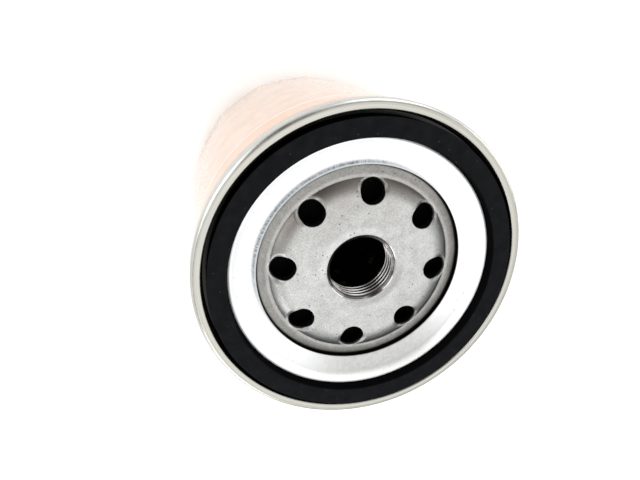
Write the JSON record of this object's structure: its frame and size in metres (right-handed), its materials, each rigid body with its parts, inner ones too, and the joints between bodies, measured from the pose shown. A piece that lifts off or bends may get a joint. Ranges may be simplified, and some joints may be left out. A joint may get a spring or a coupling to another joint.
{
  "type": "spin-on oil filter",
  "caption": "Spin-on engine oil filter: painted can with a fluted dome end, seamed ring lid, black gasket, and a pressed base plate with inlet holes around a threaded outlet.",
  "frame": {"origin": "centre of the dome's resting face, on the can's axis, where the filter stands", "axes": "+Z along the can's axis from the closed dome end to the gasket end, which is the way an engine's threaded stub leaves the outlet; +X passes through the middle of one inlet hole and, within a degree, of one wrench flat"},
  "size_m": [0.0954, 0.0954, 0.0971],
  "materials": {
    "can_paint": "glossy orange-red stoving paint with one thin pale pinstripe below the seam",
    "zinc_plate": "bright zinc plating, smooth, faint draw lines",
    "seam_compound": "cured seaming compound",
    "plate_steel": "pressed mild steel, matt, finely mottled with an oily film",
    "gasket_rubber": "matt moulded nitrile rubber",
    "valve_rubber": "soft moulded nitrile rubber",
    "tinplate": "plain tinplate",
    "cap_adhesive": "cured plastisol",
    "filter_paper": "resin-treated cellulose paper",
    "valve_steel": "plain pressed steel",
    "spring_steel": "hard-drawn spring wire"
  },
  "bodies": {
    "housing": {"can": "can_paint", "seaming_lid": "zinc_plate", "seam_sealant": "seam_compound", "base_plate": "plate_steel", "gasket": "gasket_rubber", "drainback_collar": "valve_rubber", "support_spring": "spring_steel"},
    "element": {"upper_end_cap": "tinplate", "lower_end_cap": "tinplate", "upper_adhesive": "cap_adhesive", "lower_adhesive": "cap_adhesive", "pleated_media": "filter_paper", "media_seam_clip": "tinplate", "centre_tube": "tinplate", "bypass_seat": "valve_steel", "bypass_cage": "valve_steel", "bypass_spring": "spring_steel"},
    "bypass_valve": {"bypass_poppet": "valve_steel", "bypass_seal": "valve_rubber"},
    "drainback_valve": {"drainback_lip": "valve_rubber", "drainback_web": "valve_rubber"}
  },
  "joints": [
    {"name": "element_float", "type": "slide", "parent": "housing", "child": "element", "axis": [0, 0, 1], "range_m": [-0.0015, 0], "stiffness_N_per_m": 6000, "springref_m": 0.01, "deforming": ["support_spring"]},
    {"name": "bypass_lift", "type": "slide", "parent": "element", "child": "bypass_valve", "axis": [0, 0, 1], "range_m": [0, 0.003], "stiffness_N_per_m": 2000, "springref_m": -0.0068, "deforming": ["bypass_spring"]},
    {"name": "drainback_open", "type": "slide", "parent": "housing", "child": "drainback_valve", "axis": [0, 0, 1], "range_m": [-0.002, 0], "stiffness_N_per_m": 800, "springref_m": 0.002, "deforming": ["drainback_web"]}
  ]
}
